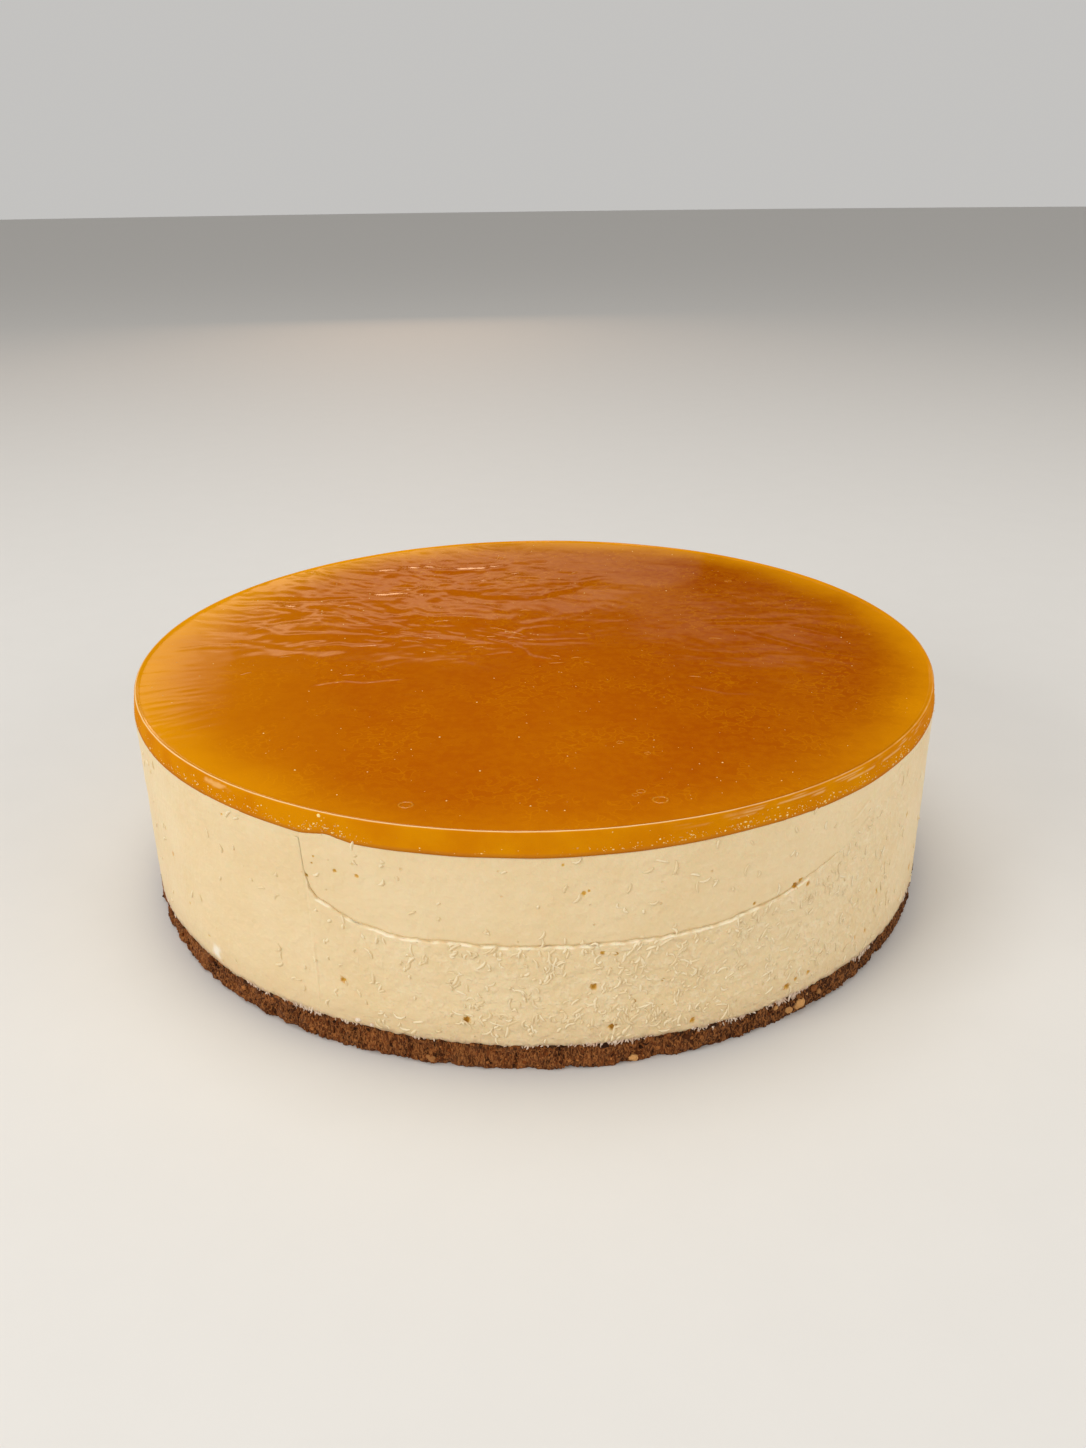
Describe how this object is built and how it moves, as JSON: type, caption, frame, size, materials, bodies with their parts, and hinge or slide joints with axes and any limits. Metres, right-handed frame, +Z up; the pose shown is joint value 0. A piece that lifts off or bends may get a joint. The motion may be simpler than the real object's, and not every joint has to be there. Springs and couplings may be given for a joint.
{
  "type": "baked cheesecake",
  "caption": "Round baked cheesecake with a crumb base, a thick pale filling and a glossy amber jelly top, resting on its flat underside.",
  "frame": {"origin": "centre of the cake's underside", "axes": "+Z up out of the jelly top, -Y towards the front of the cake, +X to its right"},
  "size_m": [0.2209, 0.2205, 0.0605],
  "materials": {
    "crumb": "rough pressed biscuit crumb, dry and matt",
    "filling": "pale cream filling with a slight sheen",
    "jelly": "clear amber jelly, glossy"
  },
  "bodies": {
    "root": {"crumb_base": "crumb", "cheese_filling": "filling", "jelly_top": "jelly"}
  },
  "joints": []
}
